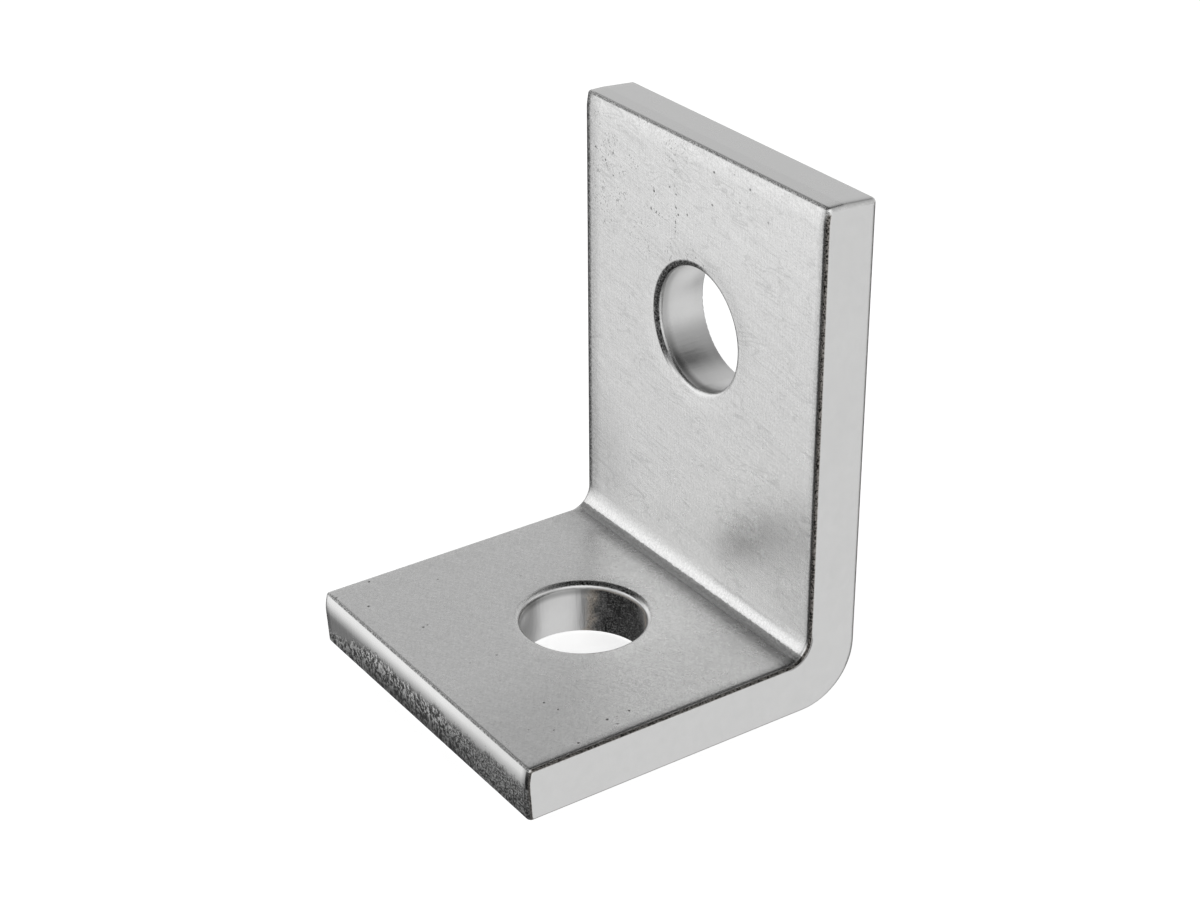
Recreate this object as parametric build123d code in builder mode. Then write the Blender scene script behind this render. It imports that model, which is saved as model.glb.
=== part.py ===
from build123d import *
import os

# Two-hole angle fitting for strut channel, formed from one length of flat steel bar.
#
# The bar is sheared to length, punched twice and bent once through a right angle, so the
# whole fitting is a single solid. X runs across the bar, the base leg lies along Y with its
# sheared end towards -Y, and the upright leg stands along +Z at the +Y end. The origin is
# the centre of the base leg on its seating face. All sizes are in millimetres.

# Flat bar
bar_width = 41.275
bar_thickness = 6.35
edge_radius = 0.7

# Legs, each measured over the outside, from the back of the other leg to the sheared end
base_length = 41.5
upright_height = 57.15

# Bend. The outside is pressed tighter than the inside, so the corner is thicker than the bar
inner_bend_radius = 2.5
outer_bend_radius = 6.6

# Sheared ends. The blade enters at the inner face and smooths the first part of each end. The
# rest tears and falls back towards the outer face. The base's band is rounded over. The
# upright's is flat, below a shallow roll where the inner face was drawn down
blade_edge_radius = 0.4
base_band_depth = 1.6
base_band_fall = 0.33
base_band_radius = 5.0
upright_band_depth = 2.2
upright_roll_length = 1.5
upright_roll_fall = 0.28
upright_roll_radius = 6.0
tear_fall = 0.3
torn_corner_radius = 0.45

# Holes, punched from the inner faces. A straight land lies under each rolled rim, and from
# there the hole breaks out wider towards the outer face
hole_setback = 20.6375
hole_diameter = 13.7
hole_rim_radius = 0.68
breakout_diameter = 14.4
breakout_depth = 2.8
breakout_edge_radius = 0.2

# Places. The heel is where the two outer faces would meet if the bend were sharp
heel_y = base_length / 2
heel = (heel_y, 0)
inner_corner = (heel_y - bar_thickness, bar_thickness)
base_end_y = heel_y - base_length
base_hole_y = base_end_y + hole_setback
upright_hole_z = upright_height - hole_setback

# Corners of the sheared ends, from the outer face to the inner one
base_torn_corner = (base_end_y + tear_fall, 0)
base_crest = (base_end_y, bar_thickness - base_band_depth)
base_blade_corner = (base_end_y + base_band_fall, bar_thickness)
upright_torn_corner = (heel_y, upright_height - tear_fall)
upright_crest = (inner_corner[0] + upright_band_depth, upright_height)
upright_blade_corner = (inner_corner[0] + upright_roll_fall, upright_height)
upright_roll_start = (inner_corner[0], upright_height - upright_roll_length)


def corner_near(point):
    """The profile's corner at a point."""
    return side_profile.vertices().sort_by_distance(point)[0]


def bar_edge_near(point):
    """The edge across the bar that stands at a point of the side profile."""
    return angle_fitting.edges().filter_by(Axis.X).sort_by_distance((0, *point))[0]


def hole_rim(axis, place):
    """The hole's edge in one of a leg's two flat faces, by its place along their normal."""
    pierced = angle_fitting.faces().filter_by(axis).filter_by(lambda face: face.inner_wires())
    return pierced.sort_by(axis)[place].inner_wires()[0].edges()[0]


with BuildPart() as angle_fitting:
    # Side profile of the bent bar, drawn round from the heel
    with BuildSketch(Plane.YZ) as side_profile:
        with BuildLine():
            Polyline(
                heel,
                base_torn_corner,
                base_crest,
                base_blade_corner,
                inner_corner,
                upright_roll_start,
                upright_blade_corner,
                upright_crest,
                upright_torn_corner,
                close=True,
            )
        make_face()
        fillet(corner_near(heel), outer_bend_radius)
        fillet(corner_near(inner_corner), inner_bend_radius)
        fillet(corner_near(base_crest), base_band_radius)
        fillet(corner_near(upright_roll_start), upright_roll_radius)
    extrude(amount=bar_width / 2, both=True)

    # Rounded edges all round both sides, and across each end where the blade entered and left
    fillet(angle_fitting.faces().filter_by(Axis.X).edges(), edge_radius)
    blade_edges = [bar_edge_near(base_blade_corner), bar_edge_near(upright_blade_corner)]
    fillet(blade_edges, blade_edge_radius)
    torn_edges = [bar_edge_near(base_torn_corner), bar_edge_near(upright_torn_corner)]
    fillet(torn_edges, torn_corner_radius)

    # Holes, each set out on its outer face and looking into the bar
    base_hole = Plane(origin=(0, base_hole_y, 0))
    upright_hole = Plane(origin=(0, heel_y, upright_hole_z), z_dir=(0, -1, 0))
    from_outer_face = (Align.CENTER, Align.CENTER, Align.MIN)
    with Locations(base_hole, upright_hole):
        Cylinder(hole_diameter / 2, bar_thickness, align=from_outer_face, mode=Mode.SUBTRACT)
        Cone(
            breakout_diameter / 2,
            hole_diameter / 2,
            breakout_depth,
            align=from_outer_face,
            mode=Mode.SUBTRACT,
        )

    # Rolled rim on each inner face and a broken edge on each outer face
    fillet([hole_rim(Axis.Z, -1), hole_rim(Axis.Y, 0)], hole_rim_radius)
    fillet([hole_rim(Axis.Z, 0), hole_rim(Axis.Y, -1)], breakout_edge_radius)

angle_fitting.part.label = "angle_fitting"

os.makedirs("parts", exist_ok=True)
export_step(angle_fitting.part, "parts/angle_fitting.step")
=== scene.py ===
"""Two-hole strut angle fitting in bright plated steel, seen from above its right on a white floor.

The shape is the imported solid. This script adds the plated surface, which differs from zone to
zone: satin flats, rolled side faces, sheared ends, punched holes and the pressed bend. It also
adds the camera, the floor and the surround that the metal mirrors. All lengths in the material
are in millimetres of the part's own frame.
"""

import math

import bpy
from mathutils import Matrix, Vector

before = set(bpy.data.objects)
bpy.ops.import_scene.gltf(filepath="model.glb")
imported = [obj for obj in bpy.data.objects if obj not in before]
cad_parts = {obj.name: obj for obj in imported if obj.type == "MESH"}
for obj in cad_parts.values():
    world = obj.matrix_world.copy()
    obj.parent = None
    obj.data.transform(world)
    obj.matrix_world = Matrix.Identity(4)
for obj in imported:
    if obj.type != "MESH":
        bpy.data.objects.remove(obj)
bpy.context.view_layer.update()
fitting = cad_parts["angle_fitting"]

# Sizes of the part, in millimetres, as its source has them
HALF_WIDTH = 20.6375
THICKNESS = 6.35
BACK_Y = 20.75
INNER_Y = BACK_Y - THICKNESS
BASE_END_Y = -20.75
TOP_Z = 57.15
BEND_RADIUS = 2.5
BEND_Y = INNER_Y - BEND_RADIUS
BEND_Z = THICKNESS + BEND_RADIUS
HOLE_SETBACK = 20.6375
BASE_HOLE_Y = BASE_END_Y + HOLE_SETBACK
UPRIGHT_HOLE_Z = TOP_Z - HOLE_SETBACK
BREAKOUT_RADIUS = 7.2
BREAKOUT_DEPTH = 2.8
MM_PER_METRE = 1000.0

# Camera, fitted to the straight edges of the photograph
CAMERA_AT = (0.18792, -0.12607, 0.14687)
AZIMUTH, ELEVATION, ROLL = 55.688, 27.979, -0.252
LENS = 73.89
SENSOR_WIDTH = 36
CLIP_START = 0.01

# Floor, in metres, a hair under the face the part stands on. A glow that only the camera sees
# brings its white up to the photograph's
FLOOR_SIZE = 4
FLOOR_Z = -0.0002
FLOOR_WHITE = (0.8, 0.8, 0.8, 1)
FLOOR_GLOW = 0.75

# Plating, before any zone changes it. A blue just short of the red makes the zinc a trace warm
ZINC_TONE = 0.81
ZINC_BLUE = 0.996
ZINC_ROUGHNESS = 0.26


class Graph:
    """Short calls that add nodes to one node tree and return their output sockets."""

    def __init__(self, tree):
        self.nodes = tree.nodes
        self.links = tree.links

    def add(self, kind, **settings):
        node = self.nodes.new(kind)
        for name, value in settings.items():
            setattr(node, name, value)
        return node

    def feed(self, socket, value):
        """Links a socket to another, or sets its value."""
        if isinstance(value, bpy.types.NodeSocket):
            self.links.new(value, socket)
        else:
            socket.default_value = value

    def math(self, operation, *values):
        node = self.add("ShaderNodeMath", operation=operation)
        for socket, value in zip(node.inputs, values):
            self.feed(socket, value)
        return node.outputs[0]

    def plus(self, a, b):
        return self.math("ADD", a, b)

    def minus(self, a, b):
        return self.math("SUBTRACT", a, b)

    def times(self, a, b):
        return self.math("MULTIPLY", a, b)

    def larger(self, a, b):
        return self.math("MAXIMUM", a, b)

    def magnitude(self, value):
        return self.math("ABSOLUTE", value)

    def both(self, *masks):
        """Where every mask is on."""
        product = masks[0]
        for mask in masks[1:]:
            product = self.times(product, mask)
        return product

    def flip(self, mask):
        return self.minus(1.0, mask)

    def rise(self, value, start, end):
        """A smooth step, 0 before start and 1 past end. It falls where end is below start."""
        node = self.add("ShaderNodeMapRange", interpolation_type="SMOOTHSTEP")
        self.feed(node.inputs["Value"], value)
        node.inputs["From Min"].default_value = min(start, end)
        node.inputs["From Max"].default_value = max(start, end)
        node.inputs["To Min"].default_value = 0.0 if end > start else 1.0
        node.inputs["To Max"].default_value = 1.0 if end > start else 0.0
        return node.outputs["Result"]

    def bell(self, value, centre, width):
        """1 at the centre, falling smoothly to 0 at a width either side."""
        return self.rise(self.magnitude(self.minus(value, centre)), width, 0.0)

    def bow(self, distance, width):
        """1 at no distance, falling to 0 at a width, steeply at first and then less and less."""
        left = self.larger(self.flip(self.math("DIVIDE", distance, width)), 0.0)
        return self.times(left, left)

    def blend(self, mask, low, high):
        """From low to high as the mask goes from 0 to 1."""
        node = self.add("ShaderNodeMix", data_type="FLOAT")
        factor, first, second = node.inputs[0], node.inputs[2], node.inputs[3]
        for socket, value in ((factor, mask), (first, low), (second, high)):
            self.feed(socket, value)
        return node.outputs[0]

    def vector(self, x, y, z):
        node = self.add("ShaderNodeCombineXYZ")
        for socket, value in zip(node.inputs, (x, y, z)):
            self.feed(socket, value)
        return node.outputs[0]

    def split(self, vector):
        node = self.add("ShaderNodeSeparateXYZ")
        self.feed(node.inputs[0], vector)
        return node.outputs[0], node.outputs[1], node.outputs[2]

    def length(self, x, y):
        return self.math("SQRT", self.plus(self.times(x, x), self.times(y, y)))

    def along(self, x, y, heading):
        """How far a level vector goes towards a heading, in degrees from +X towards +Y."""
        heading = math.radians(heading)
        return self.plus(self.times(x, math.cos(heading)), self.times(y, math.sin(heading)))

    def noise(self, vector, size, detail=2.0, roughness=0.5, distortion=0.0):
        """Noise from 0 to 1, about a mean of 0.5, with features of about a size."""
        node = self.add("ShaderNodeTexNoise")
        self.feed(node.inputs["Vector"], vector)
        node.inputs["Scale"].default_value = 1.0 / size
        node.inputs["Detail"].default_value = detail
        node.inputs["Roughness"].default_value = roughness
        node.inputs["Distortion"].default_value = distortion
        return node.outputs["Fac"]

    def streaks(self, vector, sizes, turn=(0, 0, 0), **settings):
        """Noise with features of a size along each axis, all turned by angles in degrees."""
        node = self.add("ShaderNodeMapping", vector_type="TEXTURE")
        self.feed(node.inputs["Vector"], vector)
        node.inputs["Rotation"].default_value = [math.radians(angle) for angle in turn]
        node.inputs["Scale"].default_value = sizes
        return self.noise(node.outputs[0], 1.0, **settings)

    def spots(self, vector, spacing, radius, share):
        """Small round spots of uneven strength, in a share of the cells of a spacing."""
        node = self.add("ShaderNodeTexVoronoi", feature="F1")
        self.feed(node.inputs["Vector"], vector)
        node.inputs["Scale"].default_value = 1.0 / spacing
        spot = self.rise(node.outputs["Distance"], radius / spacing, 0.35 * radius / spacing)
        pick, strength, _ = self.split(node.outputs["Color"])
        picked = self.rise(pick, 1.0 - share, 1.02 - share)
        return self.both(spot, picked, self.rise(strength, -0.6, 1.0))


def aim_camera():
    data = bpy.data.cameras.new("camera")
    data.lens = LENS
    data.sensor_width = SENSOR_WIDTH
    data.clip_start = CLIP_START
    camera = bpy.data.objects.new("camera", data)
    azimuth, elevation = math.radians(AZIMUTH), math.radians(ELEVATION)
    level = math.cos(elevation)
    ahead = Vector((-math.sin(azimuth) * level, math.cos(azimuth) * level, -math.sin(elevation)))
    roll = Matrix.Rotation(math.radians(ROLL), 3, "Z")
    turn = ahead.to_track_quat("-Z", "Y").to_matrix() @ roll
    camera.matrix_world = Matrix.Translation(CAMERA_AT) @ turn.to_4x4()
    bpy.context.scene.collection.objects.link(camera)
    bpy.context.scene.camera = camera


def lay_floor():
    """A white floor that keeps the part's shadow. Metal sees the surround through it."""
    bpy.ops.mesh.primitive_plane_add(size=FLOOR_SIZE, location=(0, 0, FLOOR_Z))
    floor = bpy.context.object
    floor.name = "floor"
    floor.visible_glossy = False
    material = bpy.data.materials.new("floor")
    material.use_nodes = True
    g = Graph(material.node_tree)
    paper = g.nodes["Principled BSDF"]
    paper.inputs["Base Color"].default_value = FLOOR_WHITE
    paper.inputs["Roughness"].default_value = 1.0
    paper.inputs["Specular IOR Level"].default_value = 0.0
    glow = g.add("ShaderNodeEmission")
    glow.inputs["Strength"].default_value = FLOOR_GLOW
    seen = g.add("ShaderNodeAddShader")
    g.links.new(paper.outputs[0], seen.inputs[0])
    g.links.new(glow.outputs[0], seen.inputs[1])
    rays = g.add("ShaderNodeLightPath")
    mix = g.add("ShaderNodeMixShader")
    g.links.new(rays.outputs["Is Camera Ray"], mix.inputs[0])
    g.links.new(paper.outputs[0], mix.inputs[1])
    g.links.new(seen.outputs[0], mix.inputs[2])
    g.links.new(mix.outputs[0], g.nodes["Material Output"].inputs["Surface"])
    floor.data.materials.append(material)


def light_surround():
    """Pale walls, brighter at two sides, under a dark ceiling, with darker places low down."""
    world = bpy.data.worlds.new("world")
    bpy.context.scene.world = world
    world.use_nodes = True
    g = Graph(world.node_tree)
    x, y, up = g.split(g.add("ShaderNodeTexCoord").outputs["Generated"])
    across = g.length(x, y)
    x, y = g.math("DIVIDE", x, across), g.math("DIVIDE", y, across)

    def facing(heading, start, end):
        """Where a direction turns to a heading, between two cosines of the angle from it."""
        return g.rise(g.along(x, y, heading), start, end)

    def height(start, end):
        """Where a direction climbs from one elevation to another, or sinks to it, in degrees."""
        return g.rise(up, math.sin(math.radians(start)), math.sin(math.radians(end)))

    # Walls, a little darker higher up, with two bright sides that fade low down
    wall = g.blend(height(-8, 12), 0.74, 0.62)
    wall = g.times(wall, g.blend(height(20, 32), 1.0, 0.84))
    sides = g.larger(facing(-143, 0.62, 0.90), facing(-32, 0.62, 0.90))
    side_light = g.blend(height(-4, 12), g.times(height(-33, -16), 0.45), 1.0)
    wall = g.blend(g.times(sides, side_light), wall, 1.10)

    # Darker places low down: behind the camera, at the part's left, and behind the part
    for dark_place, light_left in (
        (g.both(facing(-62, 0.74, 0.93), height(0, -7)), 0.05),
        (g.both(facing(180, 0.87, 0.975), height(-8, -18)), 0.30),
        (g.both(facing(105, 0.57, 0.82), height(-4, -16), height(-50, -42)), 0.35),
    ):
        wall = g.times(wall, g.blend(dark_place, 1.0, light_left))

    # Ceiling, which comes lower at the part's left and is less dark behind the part
    wall = g.blend(g.both(height(34, 39), facing(-170, 0.80, 0.93)), wall, 0.19)
    ceiling = g.times(height(40, 52), g.blend(facing(135, 0.58, 0.85), 0.95, 0.25))
    light = g.times(wall, g.flip(ceiling))
    seen = g.add("ShaderNodeLightPath").outputs["Is Camera Ray"]
    g.feed(g.nodes["Background"].inputs["Color"], g.blend(seen, light, 1.0))
    g.nodes["Background"].inputs["Strength"].default_value = 1.0


class Plating:
    """Bright zinc over rolled, sheared, punched and pressed steel, built up zone by zone.

    A zone is a mask, 1 inside and 0 outside. It takes a share off the tone, pulls the roughness
    to a value, or raises the surface. The order of the calls in __init__ counts: the textures
    go into the tone before any share comes off it, and where zones overlap, the roughness is
    that of the later one.
    """

    def __init__(self):
        self.material = bpy.data.materials.new("zinc_plated_steel")
        self.material.use_nodes = True
        self.g = g = Graph(self.material.node_tree)
        coords = g.add("ShaderNodeTexCoord")
        in_mm = g.add("ShaderNodeVectorMath", operation="SCALE")
        g.feed(in_mm.inputs[0], coords.outputs["Object"])
        in_mm.inputs["Scale"].default_value = MM_PER_METRE
        self.place = place = in_mm.outputs[0]
        self.x, self.y, self.z = g.split(place)
        self.find_faces(*g.split(coords.outputs["Normal"]))
        self.find_holes()
        self.flats = g.both(g.flip(self.side), g.flip(self.walls), g.flip(self.ends))

        # Textures shared by several zones
        self.patches = g.noise(place, 5.0, detail=3.0, roughness=0.6)
        self.mottle = g.noise(place, 1.3, detail=3.0, roughness=0.6, distortion=0.4)
        self.chips = g.noise(place, 0.44, detail=3.0, roughness=0.75)
        self.speckle = g.rise(g.noise(place, 0.21, detail=2.0, roughness=0.6), 0.38, 0.62)

        self.tone = self.sway(ZINC_TONE, (self.patches, 0.05), (self.mottle, 0.06))
        self.roughness = self.sway(ZINC_ROUGHNESS, (self.patches, 0.10), (self.mottle, 0.08))
        self.relief = 0.0
        self.grain_flats()
        self.brush_base()
        self.paint_face_light_and_shade()
        self.burnish_base_end()
        self.round_edges()
        self.paint_shade_beside_edges()
        self.mark_blade_edges()
        self.tear_base_end()
        self.streak_hole_walls()
        self.tear_base_hole()
        self.roll_rims()
        self.press_bend()
        self.pit_flats()
        self.mark_upright()
        self.feed_shader()

    def find_faces(self, normal_x, normal_y, normal_z):
        g, x, y, z = self.g, self.x, self.y, self.z
        self.from_side = g.minus(HALF_WIDTH, g.magnitude(x))
        self.depth = g.minus(THICKNESS, z)
        self.low_down = g.rise(z, 14.0, 7.0)
        self.side = g.rise(g.magnitude(normal_x), 0.90, 0.99)
        self.base_top = g.both(g.rise(normal_z, 0.80, 0.95), g.rise(z, 8.0, 7.0))
        self.upright_front = g.both(g.rise(normal_y, -0.80, -0.95), g.rise(z, 7.5, 9.5))
        self.base_end = g.both(g.rise(normal_y, -0.55, -0.85), g.rise(y, -19.0, -19.6))
        top_end = g.both(g.rise(normal_z, 0.55, 0.85), g.rise(z, 55.6, 56.2))
        self.ends = g.larger(self.base_end, top_end)

    def find_holes(self):
        """The walls of both holes, by the distance from each one's axis."""
        g, x = self.g, self.x
        wall_border = BREAKOUT_RADIUS + 0.1, BREAKOUT_RADIUS
        self.base_across = g.minus(self.y, BASE_HOLE_Y)
        self.upright_across = g.minus(self.z, UPRIGHT_HOLE_Z)
        self.base_radius = g.length(x, self.base_across)
        self.upright_radius = g.length(x, self.upright_across)
        self.base_wall = g.rise(self.base_radius, *wall_border)
        self.upright_wall = g.rise(self.upright_radius, *wall_border)
        self.walls = g.larger(self.base_wall, self.upright_wall)

    def sway(self, value, *textures, mean=0.5):
        """A value that moves with textures, each about their mean and by its own amount."""
        for texture, amount in textures:
            value = self.g.plus(value, self.g.times(self.g.minus(texture, mean), amount))
        return value

    def speckled(self, between, inside):
        """One share between the speckles and another inside them."""
        return self.g.blend(self.speckle, between, inside)

    def darken(self, mask, share=1.0):
        """Takes a share off the tone, or adds to it where the share is negative."""
        self.tone = self.g.times(self.tone, self.g.flip(self.g.times(mask, share)))

    def set_roughness(self, mask, value):
        self.roughness = self.g.blend(mask, self.roughness, value)

    def lift(self, *factors):
        """Raises the surface by the product of the factors, in millimetres."""
        self.relief = self.g.plus(self.relief, self.g.both(*factors))

    def emboss(self, mask, texture, height):
        """Raises the surface with a texture, by a height from its darkest to its lightest."""
        self.lift(mask, self.g.minus(texture, 0.5), height)

    def grain_flats(self):
        """Satin grain, with the streaks and waves of rolling on the upright."""
        g, place, flats, upright_front = self.g, self.place, self.flats, self.upright_front
        grain = g.noise(place, 0.24, detail=3.0, roughness=0.75)
        dust = g.noise(place, 0.15, detail=1.0, roughness=0.5)
        streaks = g.streaks(place, (0.16, 0.16, 1.8), detail=2.0)
        waves = g.streaks(place, (3.5, 1.0, 0.28), turn=(0, 10, 0), detail=3.0, distortion=0.6)
        self.tone = self.sway(
            self.tone,
            (grain, g.blend(flats, 0.03, 0.50)),
            (streaks, g.times(upright_front, 0.24)),
            (waves, g.times(upright_front, 0.16)),
        )
        self.emboss(g.blend(flats, 0.15, 1.0), grain, 0.016)
        self.emboss(g.blend(flats, 0.10, 1.0), dust, 0.006)
        self.emboss(g.blend(flats, 0.25, 1.0), self.mottle, 0.020)
        self.emboss(upright_front, streaks, 0.008)
        self.emboss(upright_front, waves, 0.014)

    def brush_base(self):
        """Crossed brush marks on the base, raised only towards its far right corner."""
        g, x, place, base_top = self.g, self.x, self.place, self.base_top
        brushed = g.plus(
            g.streaks(place, (2.4, 0.16, 1.0), turn=(0, 0, 32), detail=2.0),
            g.streaks(place, (1.6, 0.18, 1.0), turn=(0, 0, -38), detail=2.0),
        )
        raised = g.both(base_top, g.rise(g.plus(g.times(x, 0.8), self.y), 2.0, 14.0))
        self.tone = self.sway(self.tone, (brushed, g.times(base_top, 0.14)), mean=1.0)
        self.emboss(raised, brushed, 0.008)

    def paint_face_light_and_shade(self):
        """Painted light and shade: the upright a trace lighter, most of all high up, and the base
        darker at its right, for how the surround's reflection falls on them.
        """
        g, base_top, upright_front = self.g, self.base_top, self.upright_front
        # Painted light high on the upright and painted shade at the base's right
        self.darken(upright_front, -0.015)
        self.darken(g.both(upright_front, g.rise(self.z, 38.0, 54.0)), -0.05)
        self.darken(g.both(base_top, g.rise(self.x, 2.0, 15.0)), 0.12)
        self.set_roughness(self.side, 0.22)
        self.set_roughness(self.walls, 0.33)

    def burnish_base_end(self):
        """The bright band where the blade smoothed the base's end, lighter partly for the burnish
        and partly as a painted highlight, with painted shade at its right and along its right
        edge.
        """
        g, x, base_end = self.g, self.x, self.base_end
        burnish = g.streaks(self.place, (0.18, 1.0, 4.0), detail=1.0)
        shade_fringe = g.both(base_end, g.rise(self.from_side, 1.3, 0.4), g.rise(x, 0.0, 5.0))
        band_right_shade = g.both(base_end, g.rise(x, 4.0, 14.0), g.rise(self.depth, 2.4, 1.2))
        # The end lighter, partly for the burnish and partly as a painted highlight, then painted
        # shade by its right edge and at the band's right
        self.darken(base_end, -0.12)
        self.darken(shade_fringe, 0.45)
        self.darken(band_right_shade, 0.11)
        self.set_roughness(base_end, 0.20)
        self.lift(base_end, g.bow(self.depth, 1.5), -0.10)
        self.emboss(base_end, burnish, 0.008)

    def round_edges(self):
        """The rounding of the long edges darkened with speckles, partly for its rough finish and
        partly as painted shade, and a gentle roll beside it.
        """
        g, y, z, from_side = self.g, self.y, self.z, self.from_side
        upright_band = g.both(g.rise(from_side, 0.03, 0.09), g.rise(from_side, 0.40, 0.24))
        base_band = g.both(g.rise(from_side, 0.05, 0.10), g.rise(from_side, 0.36, 0.26))
        band = g.blend(self.low_down, upright_band, base_band)
        base_corner = g.both(g.rise(y, -19.9, -20.3), g.rise(z, 5.9, 6.1))
        corners = g.larger(g.rise(z, 56.2, 56.6), base_corner)
        long_edge = g.both(band, g.flip(self.walls), g.flip(self.ends), g.flip(corners))
        short_edge = g.both(g.bell(from_side, 0.10, 0.10), self.ends)
        self.edge = g.larger(long_edge, g.times(short_edge, 0.6))
        # Painted shade in part: the edge band is made nearly black between lighter speckles
        self.darken(g.times(self.edge, self.speckled(0.97, g.blend(self.low_down, 0.62, 0.78))))
        self.set_roughness(self.edge, 0.28)
        self.lift(g.bow(from_side, 1.5), -0.15)
        self.emboss(self.edge, self.speckle, 0.020)

    def paint_shade_beside_edges(self):
        """Painted shade in a speckled band beside the edges, fainter on the base, and more at the
        left.
        """
        g, x, y, z, from_side = self.g, self.x, self.y, self.z, self.from_side
        shade_fringe = g.both(g.rise(from_side, 1.5, 0.5), g.rise(from_side, 0.2, 0.4), self.flats)
        fainter = g.blend(self.low_down, 1.0, 0.45)
        front_only = g.rise(y, INNER_Y + 0.5, INNER_Y + 0.2)
        left_edge_shade = g.both(g.rise(x, -19.35, -19.8), g.rise(z, 8.0, 10.0), front_only)
        left_side_shade = g.both(self.upright_front, g.rise(x, -17.4, -19.4))
        # Painted shade: the band beside the edges, a line on the upright's left edge and a strip
        # along its left side
        self.darken(g.both(shade_fringe, self.speckled(0.30, 0.14), fainter))
        self.darken(g.times(left_edge_shade, self.speckled(0.86, 0.45)))
        self.darken(g.times(left_side_shade, self.speckled(0.34, 0.16)))

    def mark_blade_edges(self):
        """A fine dark rough line across each end, where the blade entered."""
        g, y, z = self.g, self.y, self.z
        from_base_line = g.length(g.minus(y, BASE_END_Y + 0.38), g.minus(z, THICKNESS - 0.11))
        from_top_line = g.length(g.minus(y, INNER_Y + 0.28), g.minus(z, TOP_Z - 0.16))
        blade = g.larger(g.rise(from_base_line, 0.22, 0.06), g.rise(from_top_line, 0.22, 0.06))
        self.darken(g.times(blade, self.speckled(0.75, 0.30)))
        self.set_roughness(blade, 0.45)
        self.emboss(blade, self.speckle, 0.030)

    def tear_base_end(self):
        """Torn metal on the base's end, below a line that wanders and drops at the left, dark
        partly for the torn metal and partly as painted shade.
        """
        g, x, place, depth, chips = self.g, self.x, self.place, self.depth, self.chips
        wander = g.streaks(place, (2.2, 1.0, 6.0), detail=3.0)
        tears = g.streaks(place, (0.44, 0.44, 0.95), detail=3.0, roughness=0.7, distortion=0.8)
        tear_line = self.sway(g.blend(g.rise(x, -9.0, -20.0), 1.9, 4.4), (wander, 2.4))
        below_line = self.sway(g.minus(depth, tear_line), (chips, 2.2))
        torn = g.both(self.base_end, g.rise(below_line, -0.2, 0.9))
        # Painted shade: the smooth end face darker from just under its top edge downwards
        end_face_shade = g.flip(g.both(self.base_end, g.rise(depth, 0.4, 3.0), 0.72))

        # Flecks from dark to light, finer towards the right and dimmer towards the outer face; the
        # dimming is painted shade
        finer = g.rise(x, 0.0, 14.0)
        lower = g.rise(depth, 2.0, 5.8)
        fine_chips = g.times(g.noise(place, 0.24, detail=3.0, roughness=0.75), 2.0)
        flecks = g.rise(g.blend(finer, g.plus(tears, chips), fine_chips), 0.97, 1.08)
        dark = g.blend(lower, 0.09, 0.04)
        coarse_light = g.blend(lower, 1.18, g.blend(g.rise(x, -10.0, -18.0), 0.22, 0.50))
        fine_light = g.blend(lower, 0.64, 0.42)
        torn_tone = g.blend(flecks, dark, g.blend(finer, coarse_light, fine_light))
        self.tone = g.times(self.tone, g.blend(torn, end_face_shade, torn_tone))
        self.set_roughness(torn, 0.42)
        self.emboss(torn, tears, 0.50)
        self.emboss(torn, chips, 0.30)

    def streak_hole_walls(self):
        """Streaks along each hole's wall, which is eased where it starts to widen, with the
        upright hole's wall a trace lighter and painted shade low on its left.
        """
        g, x, place, across = self.g, self.x, self.place, self.upright_across
        base_wall, upright_wall = self.base_wall, self.upright_wall
        from_base_break = g.magnitude(g.minus(self.z, BREAKOUT_DEPTH))
        from_upright_break = g.magnitude(g.minus(BACK_Y - BREAKOUT_DEPTH, self.y))
        shade = g.both(upright_wall, g.rise(across, -1.5, -4.0), g.rise(x, -1.5, -4.0))
        self.darken(upright_wall, -0.06)
        # Painted shade low on the left of the upright hole's wall
        self.darken(shade, 0.30)
        self.lift(base_wall, g.bow(from_base_break, 1.6), -0.05)
        self.lift(upright_wall, g.bow(from_upright_break, 1.6), -0.05)
        self.emboss(base_wall, g.streaks(place, (0.28, 0.28, 5.0), detail=2.0), 0.016)
        self.emboss(upright_wall, g.streaks(place, (0.28, 5.0, 0.28), detail=2.0), 0.016)

    def tear_base_hole(self):
        """A dark tear round the back of the base's hole, partly the torn metal's colour and partly
        painted shade, with a painted highlight as a lighter glint inside it.
        """
        g, x, z = self.g, self.x, self.z
        towards_back = self.sway(g.along(x, self.base_across, 100), (self.mottle, 1.6))
        torn = g.both(self.base_wall, g.rise(towards_back, 4.6, 6.5), g.rise(z, 5.9, 5.5))
        pinholes = g.rise(g.noise(self.place, 0.20, detail=3.0, roughness=0.7), 0.44, 0.66)
        glint = g.blend(g.both(g.rise(x, 0.0, 1.6), g.rise(z, 3.4, 4.8)), 1.0, 0.80)
        paler_right = g.blend(g.rise(x, 3.8, 5.6), 1.0, 0.93)
        # Painted shade in part over the tear, lifted by the painted glint
        self.darken(g.both(torn, g.blend(pinholes, 0.96, 0.68), glint, paler_right))
        self.set_roughness(torn, 0.50)
        self.emboss(torn, pinholes, 0.08)
        self.tear_border = g.bell(torn, 0.45, 0.45)

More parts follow.
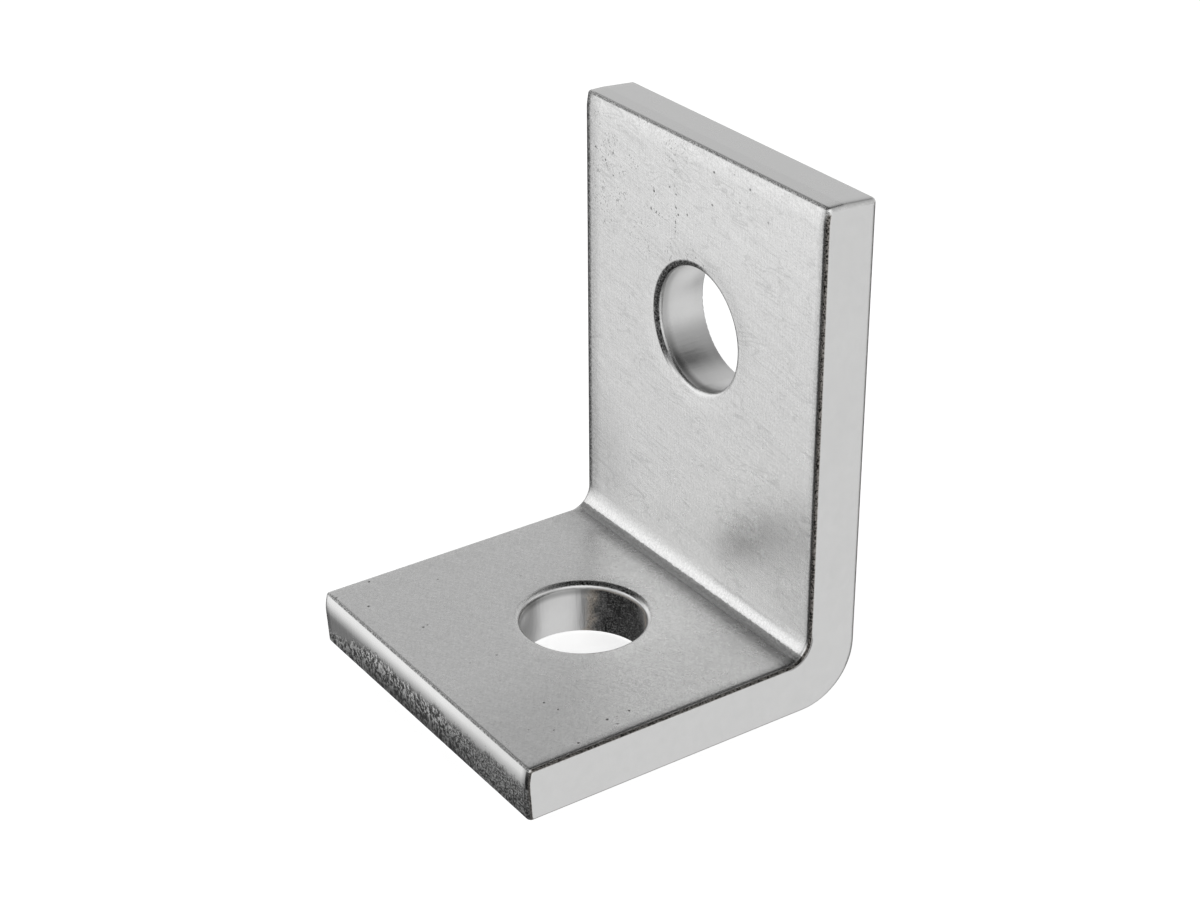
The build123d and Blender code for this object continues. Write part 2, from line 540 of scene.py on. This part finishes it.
    def roll_rims(self):
        """Rims, rough and darkened on the far side, partly for roughness and partly as painted
        shade, each over a lip of painted shade and in a shallow dish.
        """
        g, x, y, z = self.g, self.x, self.y, self.z
        base_across, upright_across = self.base_across, self.upright_across
        base_radius, upright_radius = self.base_radius, self.upright_radius
        inner_border = 6.94, 7.02
        base_rim = g.both(
            g.rise(base_radius, *inner_border),
            g.rise(base_radius, 7.70, 7.50),
            g.rise(z, 5.4, 5.8),
            g.rise(g.minus(base_across, g.times(x, 1.6)), 2.0, 9.0),
            g.rise(base_across, -3.0, 3.0),
        )
        upright_rim = g.both(
            g.rise(upright_radius, *inner_border),
            g.rise(upright_radius, 7.74, 7.50),
            g.rise(y, INNER_Y + 0.9, INNER_Y + 0.5),
            g.rise(z, 20.0, 22.0),
            g.rise(g.minus(g.times(upright_across, 0.5), x), 0.5, 4.0),
        )
        rim = g.larger(base_rim, upright_rim)
        # Painted shade in part: the far side of each rim nearly black between lighter speckles
        self.darken(g.times(rim, self.speckled(0.97, 0.72)))
        self.emboss(rim, self.speckle, 0.030)

        # Painted shade on the lip just inside each hole, more towards the bottom of the upright's
        # hole
        base_lip_shade = g.both(self.base_wall, g.bell(z, 5.4, 0.7), g.rise(x, -2.0, -6.0), 0.40)
        upright_share = g.blend(g.rise(upright_across, -2.0, -6.0), 0.25, 0.60)
        upright_lip_shade = g.both(self.upright_wall, g.bell(y, INNER_Y + 0.9, 0.9), upright_share)
        self.darken(g.larger(base_lip_shade, upright_lip_shade))

        dish_full = 7.2
        base_dish = g.rise(base_radius, 9.6, dish_full)
        upright_dish = g.rise(upright_radius, 10.4, dish_full)
        self.lift(base_dish, base_dish, -0.05)
        self.lift(upright_dish, upright_dish, -0.10)

    def press_bend(self):
        """A rough crease where the punch pressed, darkened partly for its roughness and partly as
        painted shade, and a soft roll low on the upright, with painted shade on the base in front
        of it.
        """
        g, y, z = self.g, self.y, self.z
        from_axis_y, from_axis_z = g.minus(y, BEND_Y), g.minus(BEND_Z, z)
        angle = g.times(g.math("ARCTAN2", from_axis_y, from_axis_z), 180.0 / math.pi)
        ragged = self.sway(angle, (self.chips, 12.0))
        crease = g.both(
            g.rise(g.length(from_axis_y, from_axis_z), 3.2, 2.6),
            g.rise(from_axis_y, -0.3, 0.3),
            g.rise(from_axis_z, -0.3, 0.3),
            g.flip(self.side),
            g.rise(ragged, 44.5, 40.5),
            g.rise(angle, 18.0, 34.0),
        )
        # Painted shade in part: the crease darker in the bend
        self.darken(g.times(crease, self.speckled(0.58, 0.40)))
        self.set_roughness(crease, 0.45)
        self.emboss(crease, self.speckle, 0.03)

        inner_side = g.both(g.flip(self.side), g.rise(y, 17.0, 15.5), g.rise(z, 5.0, 6.0))
        # Painted shade on the base just in front of the upright
        foot_shade = g.both(inner_side, g.rise(y, 6.5, 12.0), g.rise(z, 7.2, 6.6))
        self.darken(foot_shade, 0.13)
        self.lift(inner_side, g.rise(z, 11.5, 7.5), g.rise(y, 11.0, 12.5), 0.10)

    def pit_flats(self):
        """Pits, mostly near the base's end and high on the upright, where it's rubbed too."""
        g, x, y, z, place = self.g, self.x, self.y, self.z, self.place
        high_up = g.both(self.upright_front, g.rise(g.minus(z, g.times(x, 0.5)), 40.0, 56.0))
        pitted = g.larger(g.both(self.base_top, g.rise(y, 6.0, -9.0)), high_up)
        pits = g.both(g.spots(place, 1.5, 0.20, 0.45), g.blend(pitted, 0.12, 1.0), self.flats)
        self.darken(pits, 0.75)
        self.set_roughness(pits, 0.5)
        self.lift(pits, -0.05)

        rubs = g.streaks(place, (1.6, 1.0, 0.45), turn=(0, 14, 0), detail=3.0, roughness=0.7)
        rubbed = g.both(high_up, g.rise(rubs, 0.55, 0.75))
        self.darken(rubbed, 0.10)
        self.set_roughness(rubbed, 0.34)

    def mark_upright(self):
        """Rolling lines, grouped dots, two scratches, and painted shade low on the left."""
        g, x, z, place, upright_front = self.g, self.x, self.z, self.place, self.upright_front
        ripple = g.streaks(place, (8.0, 1.0, 2.0), turn=(0, 2, 0), detail=2.0, distortion=0.5)
        lines = g.larger(g.bell(ripple, 0.45, 0.03), g.bell(ripple, 0.56, 0.03))
        self.darken(g.both(upright_front, lines, g.rise(self.patches, 0.40, 0.60)), 0.13)

        groups = g.rise(g.noise(place, 2.6, detail=1.0), 0.50, 0.62)
        group_dots = g.rise(g.noise(place, 0.26, detail=1.0), 0.60, 0.70)
        top_left = g.both(g.rise(x, 2.0, -4.0), g.rise(z, 40.0, 44.0))
        self.darken(g.both(upright_front, groups, group_dots, top_left), 0.45)

        # The scratches are rows of dots above the hole, one upright and one nearly level
        scratch_dots = g.both(upright_front, g.rise(g.noise(place, 0.35, detail=1.0), 0.50, 0.64))
        upright_line = g.both(g.bell(x, -3.75, 0.22), g.bell(z, 49.2, 4.6))
        slanted_z = g.plus(z, g.times(x, 0.12))
        level_line = g.both(g.bell(slanted_z, 46.6, 0.32), g.bell(x, -7.2, 2.6))
        scratches = g.both(scratch_dots, g.larger(upright_line, level_line))
        self.darken(scratches, 0.85)
        self.lift(scratches, -0.03)

        # Painted shade: a soft grey patch low on the upright's left
        from_low_left_shade = g.length(g.minus(x, -19.0), g.times(g.minus(z, 13.0), 0.7))
        self.darken(g.both(upright_front, g.rise(from_low_left_shade, 10.0, 2.0)), 0.17)

    def feed_shader(self):
        """Feeds in the tone, a little browner on edges and round the tear, and the rest."""
        g, tone = self.g, self.tone
        brown = g.larger(g.times(self.tear_border, 0.10), g.times(self.edge, 0.06))
        red, blue = g.times(tone, g.plus(1.0, brown)), g.times(tone, g.minus(ZINC_BLUE, brown))
        steel = g.nodes["Principled BSDF"]
        steel.inputs["Metallic"].default_value = 1.0
        g.feed(steel.inputs["Base Color"], g.vector(red, tone, blue))
        g.feed(steel.inputs["Roughness"], self.roughness)
        bump = g.add("ShaderNodeBump")
        bump.inputs["Distance"].default_value = 1.0 / MM_PER_METRE
        g.feed(bump.inputs["Height"], self.relief)
        g.links.new(bump.outputs[0], steel.inputs["Normal"])


aim_camera()
lay_floor()
light_surround()
fitting.data.materials.clear()
fitting.data.materials.append(Plating().material)

bpy.context.scene.view_settings.view_transform = "Standard"
